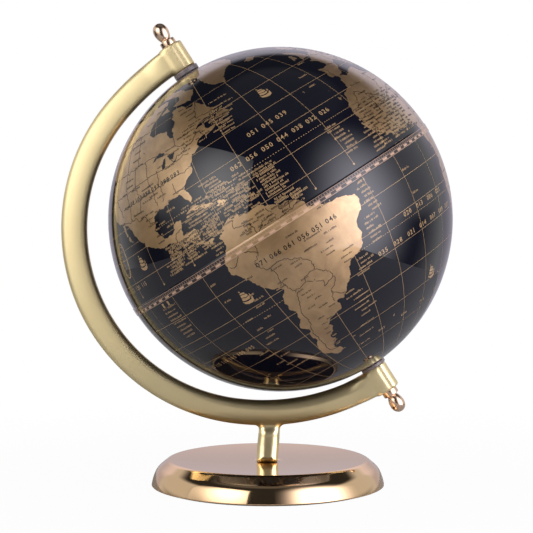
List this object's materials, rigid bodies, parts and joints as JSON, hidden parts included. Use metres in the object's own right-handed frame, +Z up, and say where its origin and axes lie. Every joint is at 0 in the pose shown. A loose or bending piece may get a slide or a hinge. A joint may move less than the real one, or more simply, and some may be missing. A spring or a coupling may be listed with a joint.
{
  "type": "desktop globe on stand",
  "caption": "Desktop globe: a glossy printed ball spins on a tilted axle in a C-shaped metal arm on a round weighted base.",
  "frame": {"origin": "centre of the base's resting face, on the table", "axes": "+Z up; the arm lies in the XZ plane and bulges towards -X, so the upper pole leans to -X, the lower pole to +X, and -Y is the front"},
  "size_m": [0.2315, 0.2038, 0.2742],
  "materials": {
    "black_felt": "felt",
    "cast_iron": "as cast, painted black",
    "rose_gold_plate": "spun steel, mirror polished and plated rose gold",
    "zinc_steel": "zinc plated",
    "satin_brass_plate": "cast aluminium with a satin champagne-brass plating",
    "rose_gold_brass": "turned brass, polished and plated rose gold",
    "grey_plastic": "smoky translucent nylon",
    "ball_plastic": "moulded",
    "bush_plastic": "moulded",
    "map_print": "blue-black print with gold ink under a clear gloss coat",
    "tape_print": "printed tape under a clear gloss coat"
  },
  "bodies": {
    "stand": {"base_felt_pad": "black_felt", "base_weight": "cast_iron", "base_shell": "rose_gold_plate", "base_flat_washer": "zinc_steel", "base_spring_washer": "zinc_steel", "base_bolt": "zinc_steel", "meridian_arm": "satin_brass_plate", "axle_rod": "zinc_steel", "upper_finial": "rose_gold_brass", "lower_finial": "rose_gold_brass", "upper_spacer_washer": "grey_plastic", "lower_spacer_washer": "grey_plastic"},
    "globe": {"north_hemisphere": "ball_plastic", "south_hemisphere": "ball_plastic", "north_map_cover": "map_print", "south_map_cover": "map_print", "upper_pole_bush": "bush_plastic", "lower_pole_bush": "bush_plastic", "centre_tube": "bush_plastic", "seam_ring": "ball_plastic", "equator_tape": "tape_print"}
  },
  "joints": [
    {"name": "globe_spin", "type": "hinge", "parent": "stand", "child": "globe", "pos_m": [0.0074, 0, 0.1583], "axis": [-0.5373, 0, 0.8434], "continuous": true}
  ]
}
